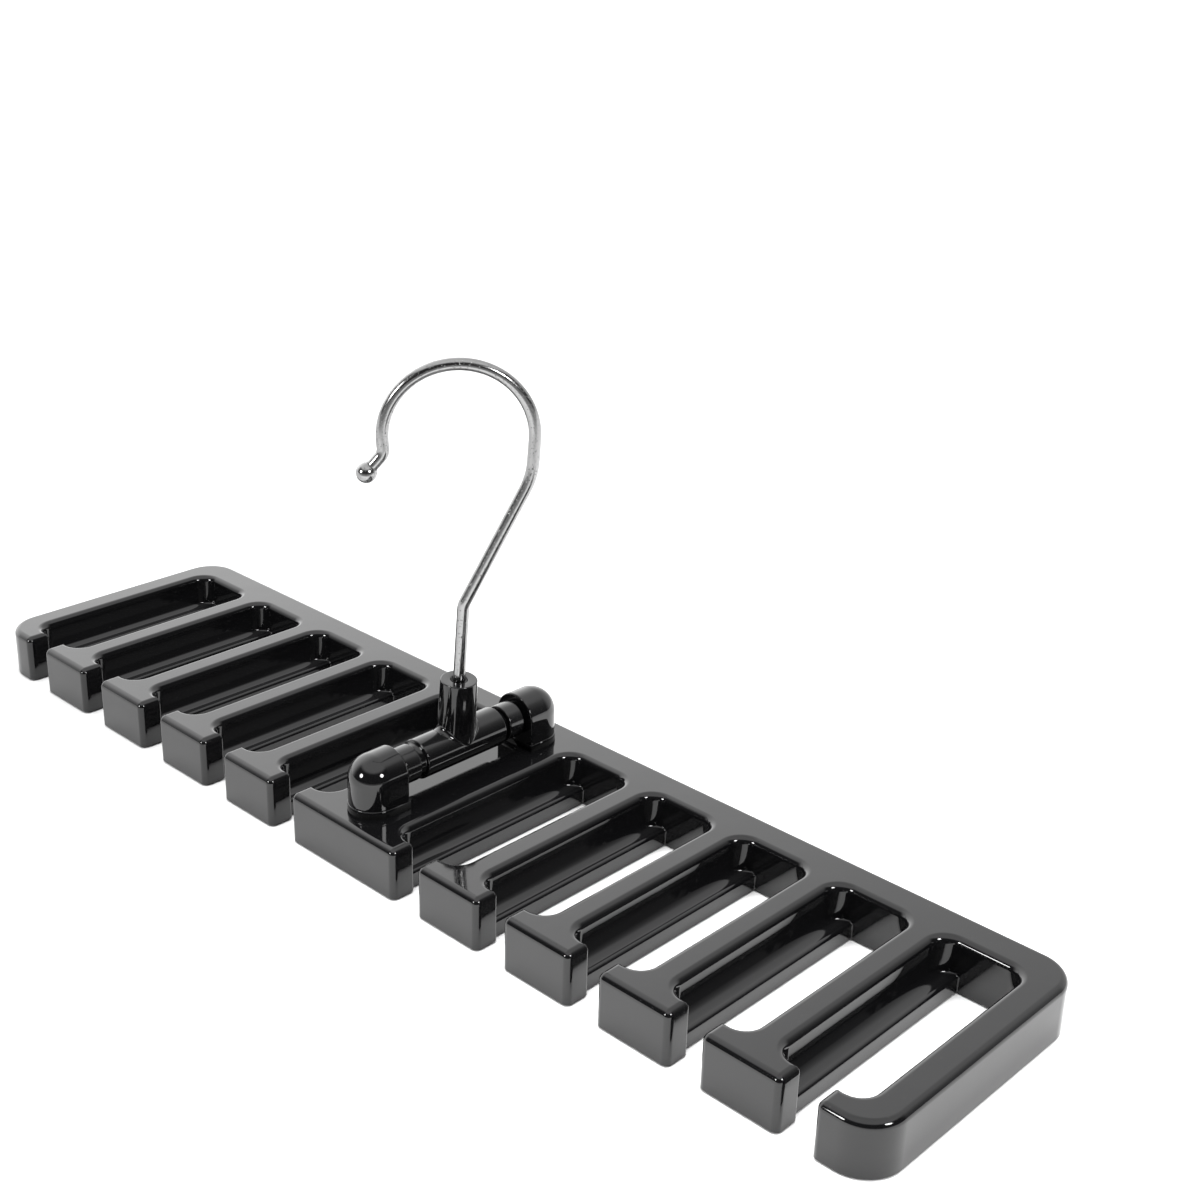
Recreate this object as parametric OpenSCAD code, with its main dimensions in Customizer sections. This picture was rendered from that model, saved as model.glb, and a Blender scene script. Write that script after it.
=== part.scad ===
// Tie hanger: a moulded comb rack with T-headed fingers, two domed pivot caps
// on its middle finger, a T-shaped yoke that folds between them, and a chrome
// wire hook that swivels in the yoke's tube.
// Millimetres, Z up. The origin is the middle of the rack's underside.
// X runs along the rack and the ties slide in from the front, at -Y.

/* [Rack] */
// Depth of the rack from finger tips to back edge
rack_depth = 84.4; // [80:0.1:110]
// Height of the rack
rack_height = 15; // [12:0.5:24]
// Depth of the spine that carries the fingers
spine_depth = 11; // [8:0.5:20]
// Slots on each side of the middle finger
slots_per_side = 5; // [2:1:6]
// Width of one T-shaped finger head
head_width = 22.8; // [20:0.1:30]
// Width of the head of the middle finger
middle_head_width = 43.2; // [40:0.1:60]
// Length of the inward-curling tip at each end of the rack
end_tip_length = 16.5; // [15:0.1:24]
// Depth of a finger head, front to back
head_depth = 7.5; // [6:0.1:12]
// Gap between two finger heads, where a tie slips in
mouth_width = 9.2; // [7:0.1:10]
// Width of a slot between two finger necks
slot_width = 23.7; // [22:0.1:26]
// Radius of the upright corners on the front of a head
head_front_radius = 1.8; // [0.5:0.1:3]
// Radius of the upright corners on the back of a head
head_back_radius = 1; // [0.5:0.1:1]
// Fillet between a neck and its head, and at the slot's inner end
slot_fillet = 5; // [2:0.1:6]
// Radius of the four outer corners of the rack
outer_radius = 10.5; // [5:0.5:14]

/* [Foot flange of the fingers] */
// How far the low flange's edge stays back from the side of the mouth
flange_inset = 1.5; // [1.4:0.1:3]
// Height of the flange
flange_height = 5.5; // [3:0.1:8]
// Radius of the flange's inner corners
flange_corner = 0.4; // [0.2:0.05:0.4]

/* [Hollow underside] */
// Wall left round the hollows
shell_wall = 2.2; // [1.6:0.1:3]
// Thickness of the top skin over the hollows
shell_skin = 2.6; // [2.4:0.1:4]

/* [Pivot caps] */
// Distance of the pivot's middle from the finger tips
pivot_from_front = 41.6; // [39:0.1:46]
// Half the width of a cap, and the radius of its dome
cap_radius = 7.2; // [6:0.1:9]
// Straight length of a cap behind its rounded end
cap_straight = 6.4; // [4:0.1:10]
// Height of the moulded pad under a cap
pad_height = 2.2; // [1:0.1:4]
// Ledge of the pad round the cap
pad_ledge = 0.2; // [0.1:0.05:0.5]
// Height of the fold axis over the deck
axis_over_deck = 8.9; // [8.2:0.1:12]
// Radius of a cap's locating peg
peg_radius = 1.5; // [1:0.1:2]
// Length of a cap's locating peg
peg_length = 8; // [4:0.5:9]
// Distance between the two pegs of a cap
peg_spacing = 5.4; // [5:0.1:6]
// Clearance of a peg or a pin in its fixed seat
seat_clearance = 0.02; // [0.01:0.01:0.05]

/* [Hinge pin and collars] */
// Radius of the hinge pin
pin_radius = 1.5; // [1:0.1:2]
// Depth to which the pin enters each cap
pin_seat = 5.5; // [3:0.1:8]
// Radius of a thrust collar
collar_radius = 5.3; // [4.5:0.1:6]
// Length of a collar's full-size part
collar_length = 5.2; // [3:0.1:7]
// Length of a collar's slim end against the cap
collar_neck = 1.1; // [0.5:0.1:2]
// Radius of the slim necks beside the dark grooves
groove_radius = 4.2; // [3:0.1:4.4]
// End clearance between a collar and its neighbours
end_clearance = 0.1; // [0.05:0.05:0.3]

/* [Yoke] */
// Length of the thick part of the barrel
barrel_length = 29.4; // [20:0.1:32]
// Length of the slim neck at each end of the barrel
barrel_neck = 1.9; // [1:0.1:3]
// Radius of the barrel
barrel_radius = 5.75; // [5.6:0.05:7]
// Height of the tube's top over the fold axis
tube_top = 20.4; // [15:0.1:26]
// Radius of the tube where it leaves the barrel
tube_foot_radius = 5.55; // [4.5:0.05:5.55]
// Radius of the tube at its top
tube_top_radius = 5.15; // [4:0.05:5.4]
// Chamfer of the tube's top edge
tube_chamfer = 0.3; // [0.1:0.1:0.6]
// Radius of the sunk ring round the wire
ring_radius = 2.4; // [2:0.1:3]
// Depth of the sunk ring round the wire
ring_depth = 1.2; // [0.5:0.1:3]
// Radial running clearance on the pin and round the wire
running_clearance = 0.05; // [0.02:0.01:0.1]
// Lean of the yoke at rest, towards +X, as the photo shows it
rest_lean = 4.5; // [0:0.5:10]

/* [Swivel seat] */
// Radius of the headed end of the wire
button_radius = 2.6; // [2.3:0.1:3]
// Thickness of the headed end of the wire
button_height = 1.6; // [1:0.1:2.5]
// Gap between the hinge pin and the headed end
button_gap = 0.4; // [0.2:0.1:1]
// Thickness of the swivel washer
washer_height = 0.8; // [0.5:0.1:1.5]
// Clearance round and under the washer
washer_clearance = 0.1; // [0.05:0.05:0.2]

/* [Hook] */
// Radius of the hook's wire
wire_radius = 1.7; // [1.2:0.05:2]
// Height of the first kink over the fold axis
kink_height = 43.4; // [36:0.1:60]
// Lean of the wire after the first kink
kink_angle = 22.5; // [10:0.5:30]
// Bend radius of the first kink
kink_radius = 6; // [4:0.1:10]
// How far the crook's outer side stands off the swivel axis
crook_offset = 15.9; // [12:0.1:25]
// Bend radius where the leaning wire turns upright
shoulder_radius = 20; // [10:0.5:30]
// Upright stretch before the crook
crook_rise = 6.2; // [2:0.1:15]
// Bend radius of the crook, to the middle of the wire
crook_radius = 19.7; // [15:0.1:25]
// Angle through which the crook turns
crook_angle = 191; // [150:1:200]
// Bend radius of the kink before the ball
tip_radius = 3.5; // [2.5:0.1:6]
// Outward turn of the tip
tip_angle = 48; // [20:1:60]
// Wire between the last kink and the middle of the ball
tip_length = 5.6; // [4.5:0.1:12]
// Radius of the ball tip
ball_radius = 2.8; // [2.3:0.1:4]
// Turn of the hook about the swivel axis, as the photo shows it
hook_azimuth = 50; // [0:5:180]

/* [Hidden] */
$fn = 96;
// Overlap that makes two shapes of one solid run into each other
melt = 0.5;
// Overshoot of a cut past a face
cut = 1;

// Plan of the rack
y_front = -rack_depth / 2;
y_back = rack_depth / 2;
y_wall = y_back - spine_depth;
y_head = y_front + head_depth;
slot_pitch = head_width + mouth_width;
first_slot = (middle_head_width + mouth_width) / 2;
half_length = first_slot + (slots_per_side - 1) * slot_pitch + mouth_width / 2 + end_tip_length;
slot_count = 2 * slots_per_side;
neck_width = slot_pitch - slot_width;
// How far the low flange stands out from a neck
flange_reach = (slot_width - mouth_width) / 2 - flange_inset;
function slot_x(i) = i < slots_per_side
    ? -first_slot - (slots_per_side - 1 - i) * slot_pitch
    : first_slot + (i - slots_per_side) * slot_pitch;

// A corner of the plan is [x, y, heading in, turn, radius, side of its slot].
// The turn is 1 to the left, round material, and -1 to the right, into a slot.
// The side is -1 or 1 where the corner ends a slot's long wall, and else 0.
function slot_corners(x) = [
    [x - mouth_width / 2, y_front, 0, 1, head_front_radius, 0],
    [x - mouth_width / 2, y_head, 90, 1, head_back_radius, 0],
    [x - slot_width / 2, y_head, 180, -1, slot_fillet, -1],
    [x - slot_width / 2, y_wall, 90, -1, slot_fillet, -1],
    [x + slot_width / 2, y_wall, 0, -1, slot_fillet, 1],
    [x + slot_width / 2, y_head, -90, -1, slot_fillet, 1],
    [x + mouth_width / 2, y_head, 180, 1, head_back_radius, 0],
    [x + mouth_width / 2, y_front, -90, 1, head_front_radius, 0]];
plan = [
    [-half_length, y_front, -90, 1, outer_radius, 0],
    for (i = [0 : slot_count - 1]) each slot_corners(slot_x(i)),
    [half_length, y_front, 0, 1, outer_radius, 0],
    [half_length, y_back, 90, 1, outer_radius, 0],
    [-half_length, y_back, 180, 1, outer_radius, 0]];

// Steps round a corner: more on a larger one
function steps(r) = r >= outer_radius ? 10 : r >= slot_fillet ? 6 : 3;
function heading(a) = [cos(a), sin(a)];

// The points of one corner, where the long walls of the slots stand in by e
function corner_points(c, e) =
    let (turn = c[3],
         r = c[5] != 0 && e > 0 ? flange_corner : c[4],
         left_in = heading(c[2] + 90),
         vertex = [c[0] - c[5] * e, c[1]],
         centre = vertex - r * heading(c[2]) + turn * r * left_in,
         n = steps(c[4]))
    [for (k = [0 : n]) centre + r * heading(c[2] - turn * 90 + turn * 90 * k / n)];
module rack_plan(e) {
    polygon([for (c = plan) each corner_points(c, e)]);
}

// Puts a child at the middle of each narrow finger
module each_neck() {
    for (side = [-1, 1]) for (i = [0 : slots_per_side - 2])
        translate([side * (first_slot + (i + 0.5) * slot_pitch), 0]) children();
}

// Plan of the hollows under the spine, the fingers, the heads and the ends
module hollow_plan() {
    spine_hollow = spine_depth - 2 * shell_wall;
    arm = half_length - slot_x(slot_count - 1) - slot_width / 2;
    middle = 2 * first_slot - slot_width;
    difference() {
        translate([-half_length + outer_radius, y_wall + shell_wall])
            square([2 * (half_length - outer_radius), spine_hollow]);
        for (x = [-first_slot : 2 * first_slot : first_slot])
            translate([x - shell_wall / 2, y_wall]) square([shell_wall, spine_depth]);
    }
    each_neck() {
        translate([-neck_width / 2 + shell_wall, y_front + shell_wall])
            square([neck_width - 2 * shell_wall, rack_depth - spine_depth]);
        translate([-head_width / 2 + shell_wall, y_front + shell_wall])
            square([head_width - 2 * shell_wall, head_depth - 2 * shell_wall]);
    }
    for (side = [-1, 1])
        translate([side * (half_length - arm / 2) - (arm - 2 * shell_wall) / 2, y_front + outer_radius])
            square([arm - 2 * shell_wall, rack_depth - 2 * outer_radius]);
    translate([-middle / 2 + shell_wall, y_pivot - cap_inner + shell_wall])
        square([middle - 2 * shell_wall, 2 * (cap_inner - shell_wall)]);
}

// Pivot: the fold axis and what lies along it, measured from the pivot's middle
y_pivot = y_front + pivot_from_front;
z_axis = rack_height + axis_over_deck;
z_pad = rack_height + pad_height;
barrel_end = barrel_length / 2 + barrel_neck;
collar_inner = barrel_end + end_clearance;
collar_step = collar_inner + collar_length;
collar_outer = collar_step + collar_neck;
cap_inner = collar_outer + end_clearance;
cap_height = z_axis + cap_radius - z_pad;
pin_end = cap_inner + pin_seat;

// Plan of a cap or of its pad, grown by g, with its flat face at y = 0
module cap_plan(g) {
    intersection() {
        union() {
            translate([0, cap_straight]) circle(cap_radius + g);
            translate([-cap_radius - g, -g]) square([2 * (cap_radius + g), cap_straight + g]);
        }
        translate([-cap_radius - g, -g]) square([2 * (cap_radius + g), cap_straight + cap_radius + 2 * g]);
    }
}

// Puts a child at one cap's flat inner face: side 1 is the rear, -1 the front
module at_cap(side) {
    translate([0, y_pivot + side * cap_inner, 0]) rotate([0, 0, side > 0 ? 0 : 180]) children();
}

// The two peg places of a cap, seen from its flat inner face
module at_pegs() {
    for (k = [-1, 1]) translate([k * peg_spacing / 2, cap_straight, 0]) children();
}

module rack_frame() {
    color([0.05, 0.05, 0.055]) difference() {
        union() {
            linear_extrude(flange_height) rack_plan(flange_reach);
            linear_extrude(rack_height) rack_plan(0);
            for (side = [-1, 1]) at_cap(side)
                translate([0, 0, rack_height - melt]) linear_extrude(pad_height + melt) cap_plan(pad_ledge);
        }
        translate([0, 0, -cut]) linear_extrude(rack_height - shell_skin + cut) hollow_plan();
        for (side = [-1, 1]) at_cap(side) at_pegs()
            translate([0, 0, z_pad - peg_length - cut]) cylinder(r = peg_radius + seat_clearance, h = peg_length + 2 * cut);
    }
}

module pivot_cap(side) {
    color([0.05, 0.05, 0.055]) at_cap(side) {
        difference() {
            union() {
                translate([0, 0, z_pad]) linear_extrude(z_axis - z_pad) cap_plan(0);
                translate([0, cap_straight, z_axis]) {
                    intersection() {
                        rotate([90, 0, 0]) cylinder(r = cap_radius, h = cap_straight);
                        translate([-cap_radius, -cap_straight, z_pad - z_axis]) cube([2 * cap_radius, cap_straight, cap_height]);
                    }
                    intersection() {
                        sphere(cap_radius);
                        translate([-cap_radius, 0, z_pad - z_axis]) cube([2 * cap_radius, cap_radius, cap_height]);
                    }
                }
            }
            translate([0, pin_seat + end_clearance, z_axis]) rotate([90, 0, 0])
                cylinder(r = pin_radius + seat_clearance, h = pin_seat + end_clearance + cut);
        }
        at_pegs() translate([0, 0, z_pad - peg_length]) cylinder(r = peg_radius, h = peg_length + melt);
    }
}
module pivot_cap_front() { pivot_cap(-1); }
module pivot_cap_rear() { pivot_cap(1); }

// A turned or drilled length along the fold axis, from a to b
module along_axis(a, b, r) {
    translate([0, b, 0]) rotate([90, 0, 0]) cylinder(r = r, h = b - a);
}

module collar(side) {
    color([0.09, 0.09, 0.1]) translate([0, y_pivot, z_axis]) rotate([0, 0, side > 0 ? 0 : 180]) difference() {
        union() {
            along_axis(collar_inner, collar_step, collar_radius);
            along_axis(collar_step - melt, collar_outer, groove_radius);
        }
        along_axis(collar_inner - cut, collar_outer + cut, pin_radius + seat_clearance);
    }
}
module collar_front() { collar(-1); }
module collar_rear() { collar(1); }

module hinge_pin() {
    color("silver") translate([0, y_pivot, z_axis]) along_axis(-pin_end, pin_end, pin_radius);
}

// Swivel: heights over the fold axis, along the tube
z_button = pin_radius + button_gap;
z_washer = z_button + button_height + washer_clearance / 2;
z_shoulder = z_washer + washer_height + washer_clearance / 2;

// Puts a child, modelled with the fold axis at its origin and the tube along
// Z, where the yoke stands at rest
module at_yoke() {
    translate([0, y_pivot, z_axis]) rotate([0, rest_lean, 0]) children();
}

module yoke() {
    color([0.05, 0.05, 0.055]) at_yoke() difference() {
        union() {
            along_axis(-barrel_length / 2, barrel_length / 2, barrel_radius);
            along_axis(-barrel_end, barrel_end, groove_radius);
            cylinder(r1 = tube_foot_radius, r2 = tube_top_radius, h = tube_top - tube_chamfer);
            translate([0, 0, tube_top - tube_chamfer])
                cylinder(r1 = tube_top_radius, r2 = tube_top_radius - tube_chamfer, h = tube_chamfer);
        }
        along_axis(-barrel_end - cut, barrel_end + cut, pin_radius + running_clearance);
        translate([0, 0, -barrel_radius - cut])
            cylinder(r = button_radius + 2 * washer_clearance, h = barrel_radius + cut + z_shoulder);
        cylinder(r = wire_radius + running_clearance, h = tube_top + cut);
        translate([0, 0, tube_top - ring_depth]) cylinder(r = ring_radius, h = ring_depth + cut);
    }
}

module swivel_washer() {
    color("silver") at_yoke() translate([0, 0, z_washer]) difference() {
        cylinder(r = button_radius + washer_clearance, h = washer_height);
        translate([0, 0, -cut]) cylinder(r = wire_radius + washer_clearance, h = washer_height + 2 * cut);
    }
}

// Route of the wire, in its own plane: [length, 0] is straight, and
// [radius, angle] a bend, to the right where the angle is over 0
function half_tangent(r, a) = r * tan(a / 2);
shank = kink_height - half_tangent(kink_radius, kink_angle) - z_button;
leaning = crook_offset / sin(kink_angle) - half_tangent(kink_radius, kink_angle)
    - half_tangent(shoulder_radius, kink_angle);
route = [[shank, 0], [kink_radius, kink_angle], [leaning, 0], [shoulder_radius, -kink_angle],
         [crook_rise, 0], [crook_radius, -crook_angle], [tip_radius, tip_angle], [tip_length, 0]];

wire_sides = 24;

// Goes to the end of one step of the route and on from there
module after(s) {
    if (s[1] == 0) translate([0, 0, s[0]]) children();
    else translate([sign(s[1]) * s[0] * (1 - cos(s[1])), 0, s[0] * sin(abs(s[1]))]) rotate([0, s[1], 0]) children();
}

// Stations along the route as [x, z, lean], from step i on
function bend_steps(a) = ceil(abs(a) / 7.5);
function station(x, z, lean, s, t) = s[1] == 0
    ? [x + s[0] * t * sin(lean), z + s[0] * t * cos(lean), lean]
    : let (side = sign(s[1]), end = lean + s[1] * t)
      [x + side * s[0] * (cos(lean) - cos(end)), z + side * s[0] * (sin(end) - sin(lean)), end];
function stations(i, x, z, lean) = i == len(route) ? [] :
    let (s = route[i],
         n = s[1] == 0 ? 1 : bend_steps(s[1]),
         end = station(x, z, lean, s, 1))
    concat([for (k = [1 : n]) station(x, z, lean, s, k / n)], stations(i + 1, end[0], end[1], end[2]));

// The bent part of the wire as one skin, a hair slimmer than the shank
module bent_wire() {
    path = concat([[0, shank - melt, 0]], stations(0, 0, 0, 0));
    r = wire_radius - seat_clearance / 2;
    last = (len(path) - 1) * wire_sides;
    polyhedron(
        [for (s = path) for (k = [0 : wire_sides - 1])
            let (a = 360 * k / wire_sides, u = r * cos(a))
            [s[0] + u * cos(s[2]), r * sin(a), s[1] - u * sin(s[2])]],
        [[for (k = [0 : wire_sides - 1]) k],
         for (i = [0 : len(path) - 2]) for (k = [0 : wire_sides - 1])
            let (m = i * wire_sides + k, n = i * wire_sides + (k + 1) % wire_sides)
            each [[m, m + wire_sides, n], [n, m + wire_sides, n + wire_sides]],
         [for (k = [wire_sides - 1 : -1 : 0]) last + k]], convexity = 6);
}

module route_end(i) {
    if (i < len(route)) after(route[i]) route_end(i + 1) children();
    else children();
}

module at_hook() {
    at_yoke() rotate([0, 0, hook_azimuth]) translate([0, 0, z_button]) children();
}

module hook_wire() {
    color("silver") at_hook() {
        cylinder(r = wire_radius, h = shank);
        bent_wire();
        cylinder(r = button_radius, h = button_height);
    }
}

module hook_ball() {
    color("silver") at_hook() route_end(0) difference() {
        sphere(ball_radius);
        translate([0, 0, -ball_radius - cut]) cylinder(r = wire_radius + seat_clearance, h = ball_radius + cut + seat_clearance);
    }
}

rack_frame();
pivot_cap_front();
pivot_cap_rear();
collar_front();
collar_rear();
hinge_pin();
yoke();
swivel_washer();
hook_wire();
hook_ball();
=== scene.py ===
# %% [markdown]
# # Tie hanger: the looks
# The object is a comb of glossy black plastic with a chrome hook on a folding
# yoke. The CAD model has every piece in its place, with plain edges. This
# lesson gives the pieces their soft edges, their gloss and the light of the
# photograph. It could be a scene of its own, but the pieces ride on the CAD's
# bodies and stay inside its box, so it starts from those. Sizes of pieces are
# in millimetres, and those of finishes, floor and lamps in metres.

# %% Load the frame
from math import asin, atan2, ceil, cos, hypot, pi, radians, sin, sqrt, tan

import bmesh
import bpy
from mathutils import Matrix, Vector


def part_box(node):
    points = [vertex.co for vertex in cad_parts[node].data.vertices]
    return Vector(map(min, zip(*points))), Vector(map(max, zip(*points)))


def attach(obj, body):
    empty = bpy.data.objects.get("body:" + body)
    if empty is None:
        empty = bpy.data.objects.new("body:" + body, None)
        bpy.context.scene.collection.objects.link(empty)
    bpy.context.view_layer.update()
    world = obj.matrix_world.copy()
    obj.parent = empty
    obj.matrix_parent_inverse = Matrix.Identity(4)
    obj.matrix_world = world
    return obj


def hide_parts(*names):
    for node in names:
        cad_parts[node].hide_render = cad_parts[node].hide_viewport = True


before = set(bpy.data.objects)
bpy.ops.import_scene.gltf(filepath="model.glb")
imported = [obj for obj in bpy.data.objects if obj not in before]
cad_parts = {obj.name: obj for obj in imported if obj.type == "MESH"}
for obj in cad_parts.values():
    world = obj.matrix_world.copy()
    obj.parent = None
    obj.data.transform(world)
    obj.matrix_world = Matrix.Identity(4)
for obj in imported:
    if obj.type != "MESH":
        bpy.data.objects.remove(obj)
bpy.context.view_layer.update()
MM = 0.001
scene = bpy.context.scene

# %% [markdown]
# ## The camera
# The photograph's camera was worked out from the comb itself, whose equal
# fingers act as a ruler. It could be given as a bare matrix. Azimuth,
# elevation and roll say the same in words that a person can check. The
# elevation is 0.13 degrees lower than worked out. That shares out the slight
# bow of the photographed comb, which is left out here.

# %% Place the camera
CAMERA_AT = Vector((328.2, -297.9, 258.9)) * MM
CAMERA_AZIMUTH = radians(42.734)
CAMERA_ELEVATION = radians(23.30)
CAMERA_ROLL = radians(1.9365)
FOCAL_PIXELS = 1771.35
PHOTO_PIXELS = 1200
SENSOR = 36.0
CLIP_START = 0.01


def photo_camera():
    """Stands the camera where the photograph was taken from."""
    forward = Vector((-sin(CAMERA_AZIMUTH) * cos(CAMERA_ELEVATION),
                      cos(CAMERA_AZIMUTH) * cos(CAMERA_ELEVATION),
                      -sin(CAMERA_ELEVATION)))
    level = Vector((cos(CAMERA_AZIMUTH), sin(CAMERA_AZIMUTH), 0))
    upright = level.cross(forward)
    right = level * cos(CAMERA_ROLL) + upright * sin(CAMERA_ROLL)
    up = right.cross(forward)
    turn = Matrix((right, up, -forward)).transposed()
    data = bpy.data.cameras.new("photo_camera")
    data.sensor_width = SENSOR
    data.lens = FOCAL_PIXELS / PHOTO_PIXELS * SENSOR
    data.clip_start = CLIP_START
    camera = bpy.data.objects.new("photo_camera", data)
    scene.collection.objects.link(camera)
    camera.matrix_world = Matrix.Translation(CAMERA_AT) @ turn.to_4x4()
    scene.camera = camera
    print("camera lens", round(data.lens, 2), "mm")


photo_camera()

# %% [markdown]
# ## Sockets as numbers
# A finish is a formula: how rough, how dark and how bumpy each point is. Nodes
# can be wired up one by one, but the formula then gets lost among the wires.
# This class wraps a socket, so that `1 - mask * 2` adds the Math nodes for it.

# %% A small shader language
class Sock:
    """One output socket, or a plain number, that can be reckoned with."""

    def __init__(self, tree, source=None):
        self.tree = tree
        self.source = source

    def node(self, kind, settings=None, inputs=None, out=0):
        """Adds a node: first its settings, then its sockets' values or links."""
        made = self.tree.nodes.new(kind)
        for name, value in (settings or {}).items():
            setattr(made, name, value)
        for key, value in (inputs or {}).items():
            if isinstance(value, Sock):
                value = value.source
            if isinstance(value, bpy.types.NodeSocket):
                self.tree.links.new(value, made.inputs[key])
            else:
                made.inputs[key].default_value = value
        return Sock(self.tree, made.outputs[out])

    def math(self, operation, other):
        return self.node("ShaderNodeMath", {"operation": operation}, {0: self, 1: other})

    def __add__(self, other):
        return self.math("ADD", other)

    def __radd__(self, other):
        return self.math("ADD", other)

    def __mul__(self, other):
        return self.math("MULTIPLY", other)

    def __rmul__(self, other):
        return self.math("MULTIPLY", other)

    def __sub__(self, other):
        return self.math("SUBTRACT", other)

    def __rsub__(self, other):
        return Sock(self.tree, other).math("SUBTRACT", self)

    def step(self, low, high):
        """0 below low, 1 above high, and a smooth rise between."""
        return self.node("ShaderNodeMapRange", {"interpolation_type": "SMOOTHSTEP"},
                         {"Value": self, "From Min": low, "From Max": high})

    def parts(self):
        """The three parts of a vector."""
        apart = self.node("ShaderNodeSeparateXYZ", inputs={0: self})
        return [Sock(self.tree, part) for part in apart.source.node.outputs]

    def blend(self, a, b):
        """Colour a where this is 0, colour b where it is 1."""
        factor, first, second, result = 0, 6, 7, 2
        return self.node("ShaderNodeMix", {"data_type": "RGBA"},
                         {factor: self, first: a, second: b}, out=result)


def material(name):
    """A new material, a Sock that its nodes can start from, and its shader."""
    made = bpy.data.materials.new(name)
    made.use_nodes = True
    return made, Sock(made.node_tree), made.node_tree.nodes["Principled BSDF"]


def connect(tree, shader, **sockets):
    """Sets or links sockets of the shader; names have _ for spaces."""
    for name, value in sockets.items():
        socket = shader.inputs[name.replace("_", " ")]
        if isinstance(value, Sock):
            tree.links.new(value.source, socket)
        else:
            socket.default_value = value


def noise(base, scale, detail, rough, stretch=(1, 1, 1)):
    """Noise in the object's own space, per metre, squeezed along an axis if wanted."""
    place = base.node("ShaderNodeTexCoord", out="Object")
    place = base.node("ShaderNodeMapping", {"vector_type": "POINT"},
                      {"Vector": place, "Scale": stretch})
    return base.node("ShaderNodeTexNoise",
                     inputs={"Vector": place, "Scale": scale, "Detail": detail, "Roughness": rough})


def bump(base, height, strength, distance, under=None):
    """A bump from a height, on top of another bump if one is given."""
    inputs = {"Height": height, "Strength": strength, "Distance": distance}
    if under:
        inputs["Normal"] = under
    return base.node("ShaderNodeBump", inputs=inputs)


# %% [markdown]
# ## The black moulding
# High-gloss black plastic shows a faint long waviness from its flow into the
# mould, a fine grain, hair scratches where ties rub, and a little dust. One
# noise could stand for all of it, but each has its own size and direction. All
# are kept weak, because the mirror look is lost as soon as one is strong.

# %% Black finishes
BLACK = (0.003, 0.003, 0.0033, 1)
DUST = (0.012, 0.012, 0.012, 1)
RIPPLE_SHARE = 0.08
DEEP, SHALLOW = 0.0006, 0.0001
PLASTIC_IOR = 1.5
SCRATCH_DULLS, DUST_DULLS, GRAIN_DULLS = 0.035, 0.1, 0.02


def gloss_black(name, roughness, wave):
    made, base, shader = material(name)
    flow = noise(base, scale=60, detail=2, rough=0.4)
    ripple = noise(base, scale=260, detail=3, rough=0.6)
    grain = noise(base, scale=2600, detail=2, rough=0.6)
    dust = noise(base, scale=1300, detail=1, rough=0.5).step(low=0.73, high=0.80)
    scratch = noise(base, scale=240, detail=4, rough=0.7, stretch=(1, 14, 1)).step(low=0.60, high=0.72)
    normal = bump(base, flow + ripple * RIPPLE_SHARE, strength=wave, distance=DEEP)
    normal = bump(base, grain, strength=0.012, distance=SHALLOW, under=normal)
    normal = bump(base, scratch, strength=0.015, distance=SHALLOW, under=normal)
    connect(base.tree, shader,
            Base_Color=dust.blend(BLACK, DUST),
            Roughness=roughness + scratch * SCRATCH_DULLS + dust * DUST_DULLS + grain * GRAIN_DULLS,
            Normal=normal,
            IOR=PLASTIC_IOR)
    return made


rack_black = gloss_black("rack_black", roughness=0.05, wave=0.13)
cap_black = gloss_black("cap_black", roughness=0.055, wave=0.14)
collar_black = gloss_black("collar_black", roughness=0.14, wave=0.45)
print("black finishes:", rack_black.name, cap_black.name, collar_black.name)

# %% [markdown]
# ## The plated wire
# The hook is wire with a bright plating. Drawing leaves faint lines along the
# wire, and the plating has pits that show as dark specks. A flawless chrome
# would show hard black and white bands, so the wire is a little rough, which
# blurs them into the soft streaks of the photo. The pin and the washer are the
# same wire without plating: darker lines and a duller surface.

# %% Chrome and steel
CHROME = (0.27, 0.27, 0.27, 1)
STEEL = (0.5, 0.5, 0.49, 1)
PIT = (0.07, 0.07, 0.068, 1)
CLOUD_DULLS, PIT_DULLS = 0.05, 0.25


def drawn_wire(name, colour, roughness):
    made, base, shader = material(name)
    pits = noise(base, scale=1900, detail=3, rough=0.6).step(low=0.60, high=0.70)
    cloud = noise(base, scale=120, detail=3, rough=0.5)
    lines = noise(base, scale=900, detail=2, rough=0.5, stretch=(3, 3, 0.25))
    normal = bump(base, lines, strength=0.06, distance=SHALLOW)
    normal = bump(base, 1 - pits, strength=0.35, distance=SHALLOW, under=normal)
    connect(base.tree, shader,
            Metallic=1.0,
            Base_Color=pits.blend(colour, PIT),
            Roughness=roughness + cloud * CLOUD_DULLS + pits * PIT_DULLS,
            Normal=normal)
    return made


chrome = drawn_wire("hook_chrome_plating", CHROME, roughness=0.15)
steel = drawn_wire("drawn_pin_steel", STEEL, roughness=0.28)
print("metal finishes:", chrome.name, steel.name)

# %% [markdown]
# ## From rows of points to a mesh
# The pieces of this hanger are swept, turned or drawn straight up, so each is
# a grid: rows of points, each joined to the next. Modifiers could do the same
# from curves, but rows let every edge have its own rounding. A rounded edge is
# always a quarter circle, so one helper lists its steps.

# %% Grids and rounded edges
SAME_POINT = 1e-7
EVEN_WEIGHT = 100
EDGE_STEPS = 4


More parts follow.
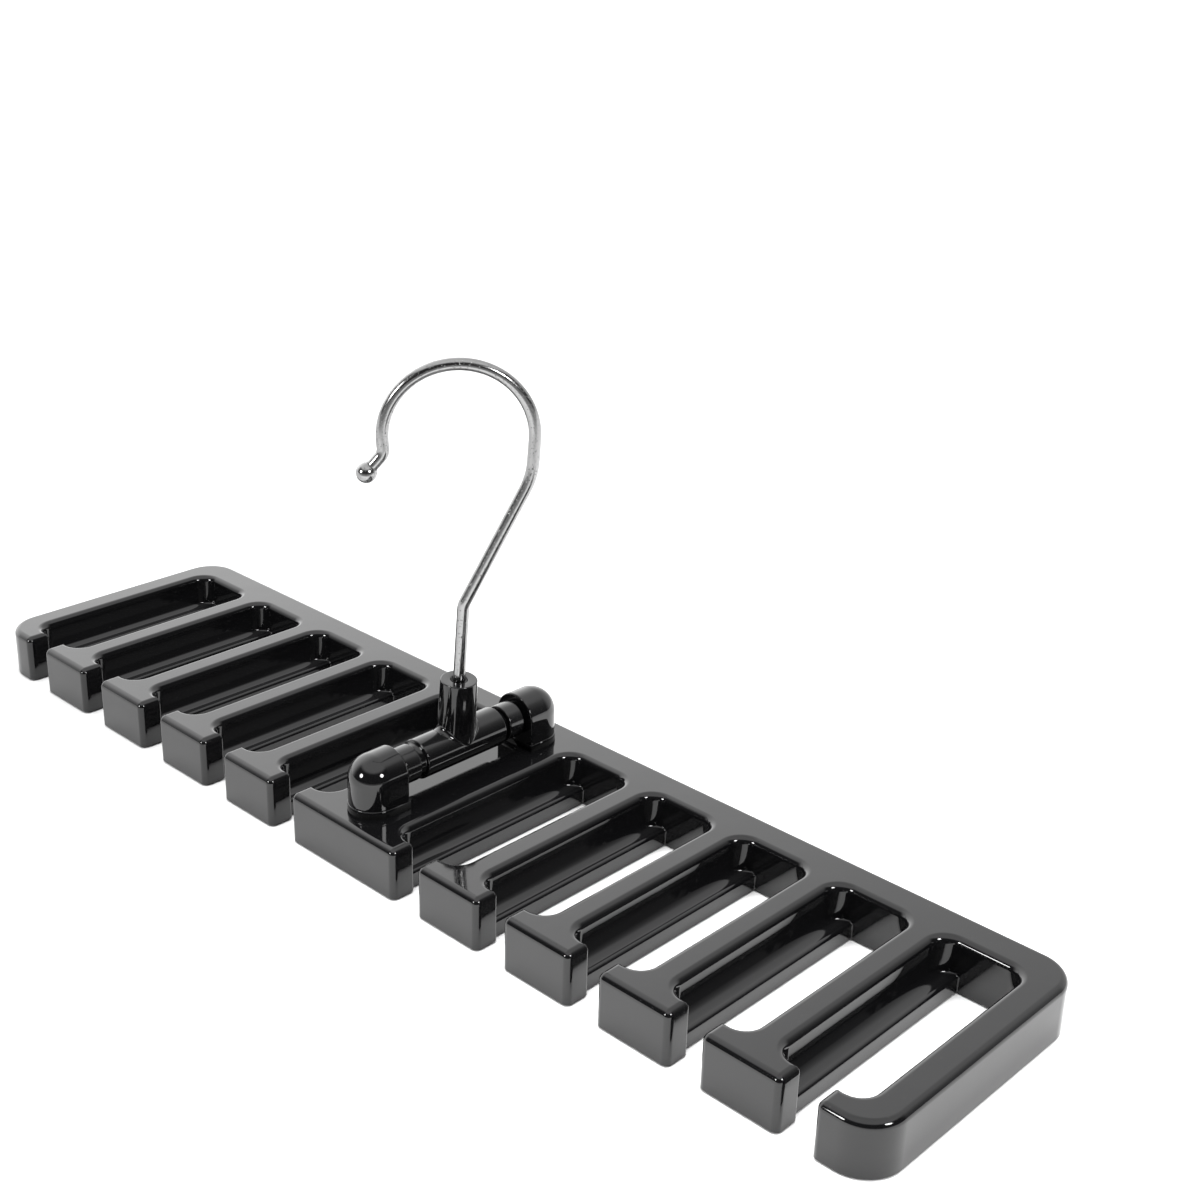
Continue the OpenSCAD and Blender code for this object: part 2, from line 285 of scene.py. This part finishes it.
def grid_mesh(name, rows, closed=True, lids=()):
    """A mesh from rows of points in mm, closed round each row and by the lids."""
    size = len(rows[0])
    faces = []
    for r in range(len(rows) - 1):
        for k in range(size if closed else size - 1):
            a = r * size + k
            b = r * size + (k + 1) % size
            faces.append((a, b, b + size, a + size))
    mesh = bpy.data.meshes.new(name)
    mesh.from_pydata([Vector(point) * MM for row in rows for point in row], [], faces + list(lids))
    return mesh


def end_lids(rows):
    """The faces that close the first and the last row."""
    size = len(rows[0])
    last = (len(rows) - 1) * size
    return [tuple(reversed(range(size))), tuple(range(last, last + size))]


def finished(name, body, mesh, finish, slot, *nodes):
    """Makes the mesh a smooth piece that rides on a body and replaces CAD nodes."""
    work = bmesh.new()
    work.from_mesh(mesh)
    bmesh.ops.remove_doubles(work, verts=work.verts, dist=SAME_POINT)
    bmesh.ops.recalc_face_normals(work, faces=work.faces)
    work.to_mesh(mesh)
    work.free()
    mesh.materials.clear()
    mesh.materials.append(finish)
    mesh.polygons.foreach_set("use_smooth", [True] * len(mesh.polygons))
    made = bpy.data.objects.new(name, mesh)
    scene.collection.objects.link(made)
    made.modifiers.new("even_normals", "WEIGHTED_NORMAL").weight = EVEN_WEIGHT
    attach(made, body)
    if nodes:
        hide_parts(*nodes)
    print(name, "has", len(mesh.polygons), "faces")


def steps_between(a, b, n):
    """n + 1 even steps from a to b."""
    return [a + (b - a) * k / n for k in range(n + 1)]


def quarter(n=EDGE_STEPS):
    """Steps of a rounded edge of radius 1: how far back, and how far down."""
    return [(1 - cos(t), 1 - sin(t)) for t in steps_between(0, pi / 2, n)]


# %% [markdown]
# ## The rack
# The rack is one moulding: a spine, fingers with T-shaped heads, and end arms
# that curl inward. All its sizes could be measured on the CAD mesh, but only
# the length and the depth show in its box. So those two come from there, and
# the rest are the sizes that the CAD source names.

# %% Sizes of the rack
LOW, HIGH = (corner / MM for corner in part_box("rack_frame"))
HALF_LENGTH, Y_FRONT, Y_BACK = HIGH.x, LOW.y, HIGH.y
DECK = 15.0
SLOTS_PER_SIDE = 5
HEAD_WIDTH, MIDDLE_HEAD, HEAD_DEPTH = 22.8, 43.2, 7.5
MOUTH, SLOT_WIDTH, SPINE = 9.2, 23.7, 11.0
HEAD_FRONT_R, HEAD_BACK_R, SLOT_R, OUTER_R = 1.8, 1.0, 5.0, 10.5
Y_HEAD = Y_FRONT + HEAD_DEPTH
Y_WALL = Y_BACK - SPINE
PITCH = HEAD_WIDTH + MOUTH
FIRST_SLOT = (MIDDLE_HEAD + MOUTH) / 2
SLOT_X = sorted(side * (FIRST_SLOT + i * PITCH) for side in (-1, 1) for i in range(SLOTS_PER_SIDE))
print("rack", round(2 * HALF_LENGTH, 1), "by", round(Y_BACK - Y_FRONT, 1), "mm")
print("slots at", [round(x, 1) for x in SLOT_X])

# %% [markdown]
# The outline is a list of square corners, each with the radius that rounds it.
# Drawing the curves one by one would fix the shape for good. From corners, the
# same outline can be drawn again a little smaller for the soft top edge, or
# with its long walls moved out for the low flanges at the fingers' feet.

# %% Outline of the rack
FLANGE, FLANGE_CORNER = 5.75, 0.4
SHARPEST = 0.02
CORNER_STEPS = {OUTER_R: 12, SLOT_R: 9}
SMALL_CORNER_STEPS = 6


def slot_corners(x):
    """Corners round one slot: x, y, heading in, turn, radius, side of the slot."""
    m, s = MOUTH / 2, SLOT_WIDTH / 2
    return [(x - m, Y_FRONT, 0, 1, HEAD_FRONT_R, 0), (x - m, Y_HEAD, 90, 1, HEAD_BACK_R, 0),
            (x - s, Y_HEAD, 180, -1, SLOT_R, -1), (x - s, Y_WALL, 90, -1, SLOT_R, -1),
            (x + s, Y_WALL, 0, -1, SLOT_R, 1), (x + s, Y_HEAD, -90, -1, SLOT_R, 1),
            (x + m, Y_HEAD, 180, 1, HEAD_BACK_R, 0), (x + m, Y_FRONT, -90, 1, HEAD_FRONT_R, 0)]


PLAN = ([(-HALF_LENGTH, Y_FRONT, -90, 1, OUTER_R, 0)]
        + [corner for x in SLOT_X for corner in slot_corners(x)]
        + [(HALF_LENGTH, Y_FRONT, 0, 1, OUTER_R, 0),
           (HALF_LENGTH, Y_BACK, 90, 1, OUTER_R, 0),
           (-HALF_LENGTH, Y_BACK, 180, 1, OUTER_R, 0)])


def heading(degrees):
    """A step of length 1 in this direction."""
    return Vector((cos(radians(degrees)), sin(radians(degrees))))


def corner_points(corner, shrink, reach):
    """One rounded corner of the outline, shrunk, with a long wall moved out by reach."""
    x, y, way, turn, radius, side = corner
    steps = CORNER_STEPS.get(radius, SMALL_CORNER_STEPS)
    if side and reach > 0:
        softness = (1 - reach / FLANGE) ** 2
        radius = FLANGE_CORNER + (SLOT_R - FLANGE_CORNER) * softness
    elif turn > 0:
        radius = max(radius - shrink, SHARPEST)
    else:
        radius = radius + shrink
    left_in = heading(way + 90)
    left_out = heading(way + 90 + 90 * turn)
    vertex = Vector((x - side * reach, y)) + shrink * (left_in + left_out)
    centre = vertex - radius * heading(way) + turn * radius * left_in
    start = way - 90 * turn
    return [centre + radius * heading(angle) for angle in steps_between(start, way, steps)]


def ring(z, shrink=0, reach=0):
    """The whole outline at a height."""
    return [(p.x, p.y, z) for corner in PLAN for p in corner_points(corner, shrink, reach)]


print("the outline has", len(PLAN), "corners and", len(ring(0)), "points")

# %% [markdown]
# The underside is hollow, as a moulding of this height must be to cool without
# sinking. Its inner walls could be part of the rings, but they aren't the same
# shape as the outside. So the hollows are boxes that a Boolean modifier takes
# away, and the result is kept as the mesh.

# %% Hollows
WALL, SKIN, BELOW = 2.2, 2.6, -1
LAP = 0.01
PIVOT_Y = Y_FRONT + 41.6
CAP_GAP = 46.2


def hollow_about(x, width, y0, y1):
    """Plan of a hollow in a bar of this width, with a wall on either side."""
    half = width / 2 - WALL
    return (x - half, y0, x + half, y1)


def hollow_plans():
    arm = HALF_LENGTH - SLOT_X[-1] - SLOT_WIDTH / 2
    neck = PITCH - SLOT_WIDTH
    middle = 2 * FIRST_SLOT - SLOT_WIDTH
    plans = []
    for side in (-1, 1):
        x = side * (HALF_LENGTH - arm / 2)
        plans.append(hollow_about(x, arm, Y_FRONT + OUTER_R, Y_BACK - OUTER_R))
        for i in range(SLOTS_PER_SIDE - 1):
            x = side * (FIRST_SLOT + (i + 0.5) * PITCH)
            plans.append(hollow_about(x, neck, Y_HEAD - WALL - LAP, Y_WALL + WALL + LAP))
            plans.append(hollow_about(x, HEAD_WIDTH, Y_FRONT + WALL, Y_HEAD - WALL))
    inside = CAP_GAP / 2 - WALL
    plans.append(hollow_about(0, middle, PIVOT_Y - inside, PIVOT_Y + inside))
    end = HALF_LENGTH - OUTER_R
    outer, inner = FIRST_SLOT + WALL / 2, FIRST_SLOT - WALL / 2
    for x0, x1 in ((-end, -outer), (-inner, inner), (outer, end)):
        plans.append((x0, Y_WALL + WALL, x1, Y_BACK - WALL))
    return plans


def boxes_mesh(name, plans, z0, z1):
    """One mesh of boxes over the plans."""
    work = bmesh.new()
    for x0, y0, x1, y1 in plans:
        for v in bmesh.ops.create_cube(work, size=1)["verts"]:
            at = (x1 if v.co.x > 0 else x0, y1 if v.co.y > 0 else y0, z1 if v.co.z > 0 else z0)
            v.co = Vector(at) * MM
    mesh = bpy.data.meshes.new(name)
    work.to_mesh(mesh)
    work.free()
    return mesh


def cut_away(mesh, tool_mesh):
    """The first mesh without what lies in the second."""
    target = bpy.data.objects.new(mesh.name, mesh)
    tool = bpy.data.objects.new(tool_mesh.name, tool_mesh)
    scene.collection.objects.link(target)
    scene.collection.objects.link(tool)
    change = target.modifiers.new("cut_away", "BOOLEAN")
    change.operation = "DIFFERENCE"
    change.object = tool
    change.solver = "EXACT"
    change.use_self = True
    bpy.context.view_layer.update()
    graph = bpy.context.evaluated_depsgraph_get()
    result = bpy.data.meshes.new_from_object(target.evaluated_get(graph))
    bpy.data.objects.remove(tool)
    bpy.data.objects.remove(target)
    return result


hollows = boxes_mesh("hollows", hollow_plans(), BELOW, DECK - SKIN)
print("hollows:", len(hollow_plans()))

# %% [markdown]
# The moulding has a soft top edge all round and low flanges with soft edges. A
# Bevel modifier could round them, but all by one width, and the flanges fade
# out into the corners. So the skin is a stack of rings: up from the foot to the
# flange's edge, over its rounding and in to the neck's wall, up the wall, and
# over the soft top edge to the deck, which closes it.

# %% Build the rack
FOOT_R = 0.25
FLANGE_Z, FLANGE_R, FLANGE_FALL, FLANGE_STEPS = 5.5, 1.0, 0.4, 5
TOP_R, TOP_STEPS = 2.0, 7


def rack_rings():
    edge_z = FLANGE_Z - FLANGE_FALL
    rings = [ring(0, shrink=FOOT_R, reach=FLANGE), ring(FOOT_R, reach=FLANGE)]
    rings += [ring(edge_z - FLANGE_R * down, reach=FLANGE - FLANGE_R * back)
              for back, down in quarter(FLANGE_STEPS)]
    rings += [ring(FLANGE_Z)]
    rings += [ring(DECK - TOP_R * down, shrink=TOP_R * back) for back, down in quarter(TOP_STEPS)]
    return rings


rings = rack_rings()
outside = grid_mesh("rack_outside", rings, lids=end_lids(rings))
finished("rack_skin", "rack", cut_away(outside, hollows), rack_black, "rack_plastic", "rack_frame")

# %% [markdown]
# Two low pads rise from the middle finger's deck and carry the caps. They
# could be drawn as a line on the deck, but the soft top edge of a real pad
# makes the fine dark seam that shows under each cap.

# %% Pads
CAP_R, CAP_STRAIGHT = 7.2, 6.4
PAD_LEDGE, PAD_Z, PAD_EDGE, PAD_ROOT = 0.2, DECK + 2.2, 0.25, 0.4
ROUND_END_STEPS = 24
ENDS = {-1: "front", 1: "rear"}


def at_cap(side, point):
    """From a cap's own place to the object: side 1 is the rear, -1 the front."""
    x, y, z = point
    return (side * x, PIVOT_Y + side * (CAP_GAP / 2 + y), z)


def cap_outline(grow):
    """Half-round plan of a cap: flat at 0, round towards +Y."""
    r = CAP_R + grow
    round_end = [(r * cos(t), CAP_STRAIGHT + r * sin(t)) for t in steps_between(0, pi, ROUND_END_STEPS)]
    return [(-r, -grow), (r, -grow)] + round_end


def pad(side):
    levels = [(DECK - PAD_ROOT, 0)]
    levels += [(PAD_Z - PAD_EDGE * down, PAD_EDGE * back) for back, down in quarter()]
    rows = [[at_cap(side, (x, y, z)) for x, y in cap_outline(PAD_LEDGE - inset)] for z, inset in levels]
    name = "pad_" + ENDS[side]
    finished(name, "rack", grid_mesh(name, rows, lids=end_lids(rows)), rack_black, "rack_plastic")


for side in ENDS:
    pad(side)

# %% [markdown]
# ## The domed caps
# A cap is an arch that runs straight back from its flat inner face and then
# turns round on itself to close the outer end. A cylinder and a sphere joined
# by a Boolean would give the same form, but with a seam of thin faces between
# them. Here one arch is moved along the straight part and then turned about an
# upright axis, so the gloss flows over it without a break.

# %% Caps
AXIS_Z = DECK + 8.9
FACE_EDGE, SEAM_EDGE, SEAM = 0.45, 0.3, 0.02
DOME_TURNS = steps_between(0, pi / 2, 20)


def half_arch(radius):
    """Side of the arch from its foot up to the crown: distance out, height."""
    low = PAD_Z + SEAM
    wall = [(radius - SEAM_EDGE * down, low + SEAM_EDGE * back) for back, down in quarter()]
    dome = [(radius * cos(t), AXIS_Z + radius * sin(t)) for t in DOME_TURNS]
    return wall + dome


def arch(half, y, turned=0.0):
    """The whole arch at y, with its two sides turned towards the round end."""
    right = [(d * cos(turned), y + d * sin(turned), z) for d, z in half]
    left = [(-x, y, z) for x, y, z in reversed(right[:-1])]
    return right + left


def cap(side):
    rows = [arch(half_arch(CAP_R - FACE_EDGE * down), FACE_EDGE * back) for back, down in quarter()]
    rows += [arch(half_arch(CAP_R), CAP_STRAIGHT, turned) for turned in DOME_TURNS]
    size = len(rows[0])
    starts = [r * size for r in range(len(rows))]
    inner_face = tuple(reversed(range(size)))
    underside = tuple(starts + [start + size - 1 for start in reversed(starts)])
    rows = [[at_cap(side, point) for point in row] for row in rows]
    name = "cap_dome_" + ENDS[side]
    mesh = grid_mesh(name, rows, closed=False, lids=[inner_face, underside])
    finished(name, "rack", mesh, cap_black, "rack_plastic", "pivot_cap_" + ENDS[side])


for side in ENDS:
    cap(side)

# %% [markdown]
# ## The collars
# Short thrust collars keep the yoke in the middle of its pin. Cylinders with
# Bevel modifiers could stand for them. A lathe's way is shorter: a list of
# places along the axis with a radius, spun about the axis. The slim neck
# against the cap is the dark groove there.

# %% Collars
SPIN = 96
PIN_R, GROOVE_R, COLLAR_R = 1.5, 4.2, 5.3
SEAT, RUNNING, END_PLAY = 0.02, 0.05, 0.1
COLLAR_NECK, COLLAR_LENGTH = 1.1, 5.2
INNER_EDGE, OUTER_EDGE = 0.35, 0.25
COLLAR_OUT = CAP_GAP / 2 - END_PLAY
COLLAR_STEP = COLLAR_OUT - COLLAR_NECK
COLLAR_IN = COLLAR_STEP - COLLAR_LENGTH


def soft_edge(y, radius, way, size):
    """A rounded edge from the end face at y to the rim, which lies along way."""
    return [(y + way * size * back, radius - size * down) for back, down in quarter()]


def spun(profile):
    """Rows about the fold axis from (place, radius) pairs, closed on themselves."""
    turns = [2 * pi * k / SPIN for k in range(SPIN)]
    rows = [[(r * cos(t), y, r * sin(t)) for t in turns] for y, r in profile]
    return rows + rows[:1]


def collar(side):
    profile = ([(COLLAR_IN, PIN_R + SEAT), (COLLAR_IN, COLLAR_R - INNER_EDGE)]
               + soft_edge(COLLAR_IN, COLLAR_R, 1, INNER_EDGE)
               + soft_edge(COLLAR_STEP, COLLAR_R, -1, OUTER_EDGE)[::-1]
               + [(COLLAR_STEP, GROOVE_R), (COLLAR_OUT, GROOVE_R), (COLLAR_OUT, PIN_R + SEAT)])
    rows = [[(side * x, PIVOT_Y + side * y, AXIS_Z + z) for x, y, z in row] for row in spun(profile)]
    name = "thrust_collar_" + ENDS[side]
    finished(name, "rack", grid_mesh(name, rows), collar_black, "collar_plastic", "collar_" + ENDS[side])


for side in ENDS:
    collar(side)

# %% [markdown]
# ## The yoke's barrel
# The barrel turns on the pin between the collars, and has a slim neck at each
# end that makes the second dark groove. Barrel and tube are one moulding and
# could be one mesh. They are two here, because the barrel can then be spun like
# the collars. The yoke leans a little at rest, as in the photo.

# %% Barrel
LEAN = radians(4.5)
BARREL_HALF, BARREL_R, BARREL_EDGE = 14.7, 5.75, 0.4
BARREL_END = COLLAR_IN - END_PLAY


def at_yoke(point):
    """From the yoke's own upright place to where it leans at rest."""
    x, y, z = point
    return (x * cos(LEAN) + z * sin(LEAN), PIVOT_Y + y, AXIS_Z - x * sin(LEAN) + z * cos(LEAN))


def barrel():
    bore = PIN_R + RUNNING
    profile = ([(-BARREL_END, bore), (-BARREL_END, GROOVE_R), (-BARREL_HALF, GROOVE_R)]
               + soft_edge(-BARREL_HALF, BARREL_R, 1, BARREL_EDGE)
               + soft_edge(BARREL_HALF, BARREL_R, -1, BARREL_EDGE)[::-1]
               + [(BARREL_HALF, GROOVE_R), (BARREL_END, GROOVE_R), (BARREL_END, bore)])
    rows = [[at_yoke(point) for point in row] for row in spun(profile)]
    finished("yoke_barrel", "yoke", grid_mesh("yoke_barrel", rows), rack_black, "rack_plastic", "yoke")


barrel()

# %% [markdown]
# ## The yoke's tube
# The tube grows out of the barrel with a fillet, and has a ring-shaped recess
# round the wire at its top. A Bevel on a Boolean joint could make a fillet,
# but it is at risk where two round bars are nearly as wide as each other. So it
# is worked out in each upright plane through the tube's axis: a circle touches
# the tube's wall and the barrel's back, and is found by halving the search.

# %% Tube
TUBE_TOP, TUBE_FOOT_R, TUBE_TOP_R, TUBE_EDGE = 20.4, 5.55, 5.15, 0.3
FILLET, FILLET_STEPS, HALVINGS = 1.6, 8, 40
WIRE_R, RING_R, RING_DEPTH, RING_EDGE, BORE_DEPTH = 1.7, 2.4, 1.2, 0.2, 3
ROOT_IN, ROOT_DOWN = 0.96, 0.6
WALL_STEPS = 6
LEAST = 1e-6


def tube_radius(z):
    return TUBE_FOOT_R + (TUBE_TOP_R - TUBE_FOOT_R) * z / TUBE_TOP


def barrel_back(rho, across):
    """Height of the barrel's back at rho from the tube's axis, and its slope's normal."""
    z = sqrt(max(BARREL_R ** 2 - across * rho ** 2, 0))
    n = hypot(across * rho, z)
    return z, across * rho / n, z / n


def fillet_touch(angle, wall):
    """Where the fillet touches the barrel in the plane at this angle, and its centre."""
    across = cos(angle) ** 2
    low = 0
    high = min(wall + FILLET, BARREL_R / max(sqrt(across), LEAST))
    for _ in range(HALVINGS):
        rho = (low + high) / 2
        if rho + FILLET * barrel_back(rho, across)[1] < wall + FILLET:
            low = rho
        else:
            high = rho
    z, _, upward = barrel_back(rho, across)
    return rho, z, z + FILLET * upward


def tube_column(angle):
    """One line up the tube, from inside the barrel to inside the bore: radius, height."""
    wall = tube_radius(BARREL_R)
    rho, z, centre = fillet_touch(angle, wall)
    start = atan2(z - centre, rho - wall - FILLET)
    if start > 0:
        start -= 2 * pi
    top = tube_radius(TUBE_TOP)
    floor_z = TUBE_TOP - RING_DEPTH
    column = [(rho * ROOT_IN, z - ROOT_DOWN)]
    column += [(wall + FILLET + FILLET * cos(t), centre + FILLET * sin(t))
               for t in steps_between(start, -pi, FILLET_STEPS)]
    column += [(tube_radius(h), h) for h in steps_between(centre, TUBE_TOP - TUBE_EDGE, WALL_STEPS)[1:]]
    column += [(top - TUBE_EDGE * back, TUBE_TOP - TUBE_EDGE * down) for back, down in quarter()[1:]]
    column += [(RING_R + RING_EDGE, TUBE_TOP), (RING_R, TUBE_TOP - RING_EDGE), (RING_R, floor_z),
               (WIRE_R + RUNNING, floor_z), (WIRE_R + RUNNING, floor_z - BORE_DEPTH)]
    return [at_yoke((r * cos(angle), r * sin(angle), h)) for r, h in column]


columns = [tube_column(2 * pi * k / SPIN) for k in range(SPIN)]
tube_rows = [list(row) for row in zip(*columns)]
tube_mesh = grid_mesh("yoke_tube", tube_rows, lids=end_lids(tube_rows))
finished("yoke_tube", "yoke", tube_mesh, rack_black, "rack_plastic")

# %% [markdown]
# ## The hook
# The wire lies in one plane: a shank, a kink, a slanting stretch, a wide crook
# and an outward kink before the ball. A curve with handles could be pulled
# into that shape by eye. A bender works with straight lengths and bends of a
# known radius, so the route is a list of those, and the wire is a ring carried
# along it. Its lower end is headed, which keeps it in the tube.

# %% Route of the wire
BUTTON_Z, KINK_Z, KINK_A, KINK_R = 1.9, 43.4, radians(22.5), 6.0
CROOK_OFFSET, SHOULDER_R, CROOK_RISE, CROOK_R, CROOK_A = 15.9, 20.0, 6.2, 19.7, radians(191)
TIP_R, TIP_A, TIP_LENGTH = 3.5, radians(48), 5.6
BEND_STEP, STRAIGHT_STEP = radians(2.5), 4


def advance(x, z, lean, size, turn):
    """The next station: after a straight length, or a bend with size as its radius."""
    if turn == 0:
        return x + size * sin(lean), z + size * cos(lean), lean
    bend = size if turn > 0 else -size
    end = lean + turn
    return x + bend * (cos(lean) - cos(end)), z + bend * (sin(end) - sin(lean)), end


def hook_route():
    """Stations along the wire in its own plane: x, z and lean of the heading."""
    kink = KINK_R * tan(KINK_A / 2)
    leaning = CROOK_OFFSET / sin(KINK_A) - kink - SHOULDER_R * tan(KINK_A / 2)
    route = [(KINK_Z - kink - BUTTON_Z, 0), (KINK_R, KINK_A), (leaning, 0), (SHOULDER_R, -KINK_A),
             (CROOK_RISE, 0), (CROOK_R, -CROOK_A), (TIP_R, TIP_A), (TIP_LENGTH, 0)]
    stations = [(0.0, BUTTON_Z, 0.0)]
    for size, turn in route:
        count = ceil(abs(turn) / BEND_STEP) if turn else max(2, ceil(size / STRAIGHT_STEP))
        length = size if turn else size / count
        for _ in range(count):
            stations.append(advance(*stations[-1], length, turn / count))
    return stations


stations = hook_route()
print("the wire has", len(stations), "stations and ends at", [round(v, 1) for v in stations[-1][:2]])

# %% [markdown]
# The wire is plated and turns in the tube. The ball is a bead pressed on to its
# end, with a fine neck where it meets the wire and a small flat at the far end.
# A ready-made sphere has neither neck nor flat. So the ball is a profile spun
# about the wire's last stretch, with the same ring as the wire.

# %% Wire and ball
AZIMUTH = radians(50)
SIDES = 40
HEADED_END = [(0, 2.4), (0.2, 2.6), (1.4, 2.6), (1.6, 2.4), (1.6, WIRE_R)]
BALL_R, BALL_MOUTH_R, BALL_FLAT_R, BALL_STEPS = 2.8, 1.95, 1.15, 28
BALL_NECK = [(-0.5, 0.02), (-0.12, 0.05)]


def wire_ring(x, z, lean, radius):
    """A ring about the wire at one station, where the hook stands at rest."""
    points = []
    for k in range(SIDES):
        t = 2 * pi * k / SIDES
        u, v = radius * cos(t), radius * sin(t)
        across, up = x + u * cos(lean), z - u * sin(lean)
        points.append(at_yoke((across * cos(AZIMUTH) - v * sin(AZIMUTH),
                               across * sin(AZIMUTH) + v * cos(AZIMUTH), up)))
    return points


def ball_profile():
    """The ball from its neck on the wire to its flat end: along the wire, radius."""
    neck, flat = asin(BALL_MOUTH_R / BALL_R), asin(BALL_FLAT_R / BALL_R)
    ball = [(-BALL_R * cos(t), BALL_R * sin(t)) for t in steps_between(neck, pi - flat, BALL_STEPS)]
    return [(ball[0][0] + along, WIRE_R + over) for along, over in BALL_NECK] + ball


wire_rows = [wire_ring(0, BUTTON_Z + up, 0, radius) for up, radius in HEADED_END]
wire_rows += [wire_ring(*station, WIRE_R) for station in stations[1:]]
ball_rows = [wire_ring(*advance(*stations[-1], along, 0), radius) for along, radius in ball_profile()]
wire_mesh = grid_mesh("hook_bent_wire", wire_rows, lids=end_lids(wire_rows))
ball_mesh = grid_mesh("hook_bead", ball_rows, lids=end_lids(ball_rows))
finished("hook_bent_wire", "hook", wire_mesh, chrome, "hook_chrome", "hook_wire")
finished("hook_bead", "hook", ball_mesh, chrome, "hook_chrome", "hook_ball")

# %% [markdown]
# ## The hidden steel
# The pin is the axle in the caps, and the washer lies over the wire's headed
# end inside the tube. They could be made anew like the rest, but they can
# hardly be seen, and the CAD has their whole shape. They keep it, and only
# take the dull steel finish.

# %% Pin and washer
for node in ("hinge_pin", "swivel_washer"):
    steel_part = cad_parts[node].data
    steel_part.materials.clear()
    steel_part.materials.append(steel)
    print(node, "is steel")

# %% [markdown]
# ## The floor
# The object stands on a pale floor that the light burns out to white. Gloss
# black shows nothing but its surroundings, so painted shade is put into the
# floor's colour: full white in the picture, a little darker to both sides, and
# grey beyond the picture on the camera's side, where the room is dark. That
# keeps the fronts of the heads and the wire as dark as in the photo, without a black card in view.

# %% Floor
FLOOR_HALF, FLOOR_DROP = 20.0, 0.0003
VIEW_X, VIEW_Y = -sin(CAMERA_AZIMUTH), cos(CAMERA_AZIMUTH)
# The grey and the two side shares are painted shade in the floor's colour.
PALE, PAINTED_SHADE_GREY = (0.85, 0.85, 0.85, 1), (0.12, 0.12, 0.12, 1)
LEFT_PAINTED_SHADE, RIGHT_PAINTED_SHADE = 0.40, 0.22
FLOOR_ROUGHNESS = 0.9


def floor():
    h = FLOOR_HALF
    mesh = bpy.data.meshes.new("floor")
    mesh.from_pydata([(-h, -h, 0), (h, -h, 0), (h, h, 0), (-h, h, 0)], [], [(0, 1, 2, 3)])
    made, base, shader = material("pale_floor")
    x, y, _ = base.node("ShaderNodeTexCoord", out="Object").parts()
    # Painted shade: grey on the camera's side, and a little darker to the left and right.
    nearer = (x * -VIEW_X - y * VIEW_Y).step(low=0.17, high=0.36)
    leftward = (x * -1.0).step(low=-0.12, high=0.16)
    rightward = x.step(low=0.16, high=0.24)
    painted_shade = nearer + leftward * LEFT_PAINTED_SHADE + rightward * RIGHT_PAINTED_SHADE
    connect(base.tree, shader, Base_Color=painted_shade.blend(PALE, PAINTED_SHADE_GREY), Roughness=FLOOR_ROUGHNESS)
    mesh.materials.append(made)
    sheet = bpy.data.objects.new("floor", mesh)
    sheet.location.z = -FLOOR_DROP
    scene.collection.objects.link(sheet)
    print("floor is", 2 * h, "m square")


floor()

# %% [markdown]
# ## The surroundings
# The deck mirrors what lies beyond the object, which is bright, and brightest
# to the left. The walls that face the camera mirror the dark side of the room,
# up to a soft light overhead. Panels could be hung round the object, but they
# leave hard edges in the gloss. A sky with three soft areas doesn't.

# %% World
BACK_LIGHT, LEFT_EXTRA = 1.3, 1.4
ROOM_LIGHT, OVERHEAD = 0.05, 1.5


def studio_world():
    world = bpy.data.worlds.new("studio")
    scene.world = world
    world.use_nodes = True
    base = Sock(world.node_tree)
    x, y, z = base.node("ShaderNodeTexCoord", out="Generated").parts()
    beyond = (x * VIEW_X + y * VIEW_Y).step(low=-0.15, high=0.45)
    leftward = (x * -1.0).step(low=0.2, high=0.9)
    upward = z.step(low=0.62, high=0.80)
    back = BACK_LIGHT + leftward * LEFT_EXTRA
    near = ROOM_LIGHT + upward * OVERHEAD
    light = back * beyond + near * (1 - beyond)
    connect(base.tree, base.tree.nodes["Background"], Color=light)
    print("surroundings from", ROOM_LIGHT, "to", BACK_LIGHT + LEFT_EXTRA)


studio_world()

# %% [markdown]
# ## The lamps
# The photo shows two small white spots on each dome and on each rounded corner
# of the heads, so two round lamps stand either side of the camera. More of them
# could light the floor as well, but would add spots. So one wide light from
# above lifts the floor to white, and isn't seen in the gloss.

# %% Lamps
FLOOR_LIGHT, FLOOR_LIGHT_SPREAD = 4.0, radians(60)
LAMPS = {"lamp_left": (-0.193, -0.898, 0.394), "lamp_right": (0.866, -0.022, 0.5)}
LAMP_AWAY, LAMP_RADIUS, LAMP_POWER = 1.3, 0.16, 36


def lamps():
    data = bpy.data.lights.new("floor_light", "SUN")
    data.energy = FLOOR_LIGHT
    data.angle = FLOOR_LIGHT_SPREAD
    high = bpy.data.objects.new("floor_light", data)
    high.visible_glossy = False
    scene.collection.objects.link(high)
    for name, way in LAMPS.items():
        data = bpy.data.lights.new(name, "POINT")
        data.energy = LAMP_POWER
        data.shadow_soft_size = LAMP_RADIUS
        lamp = bpy.data.objects.new(name, data)
        lamp.location = Vector(way).normalized() * LAMP_AWAY
        scene.collection.objects.link(lamp)


lamps()
scene.view_settings.view_transform = "Standard"
print("lights:", 1 + len(LAMPS))
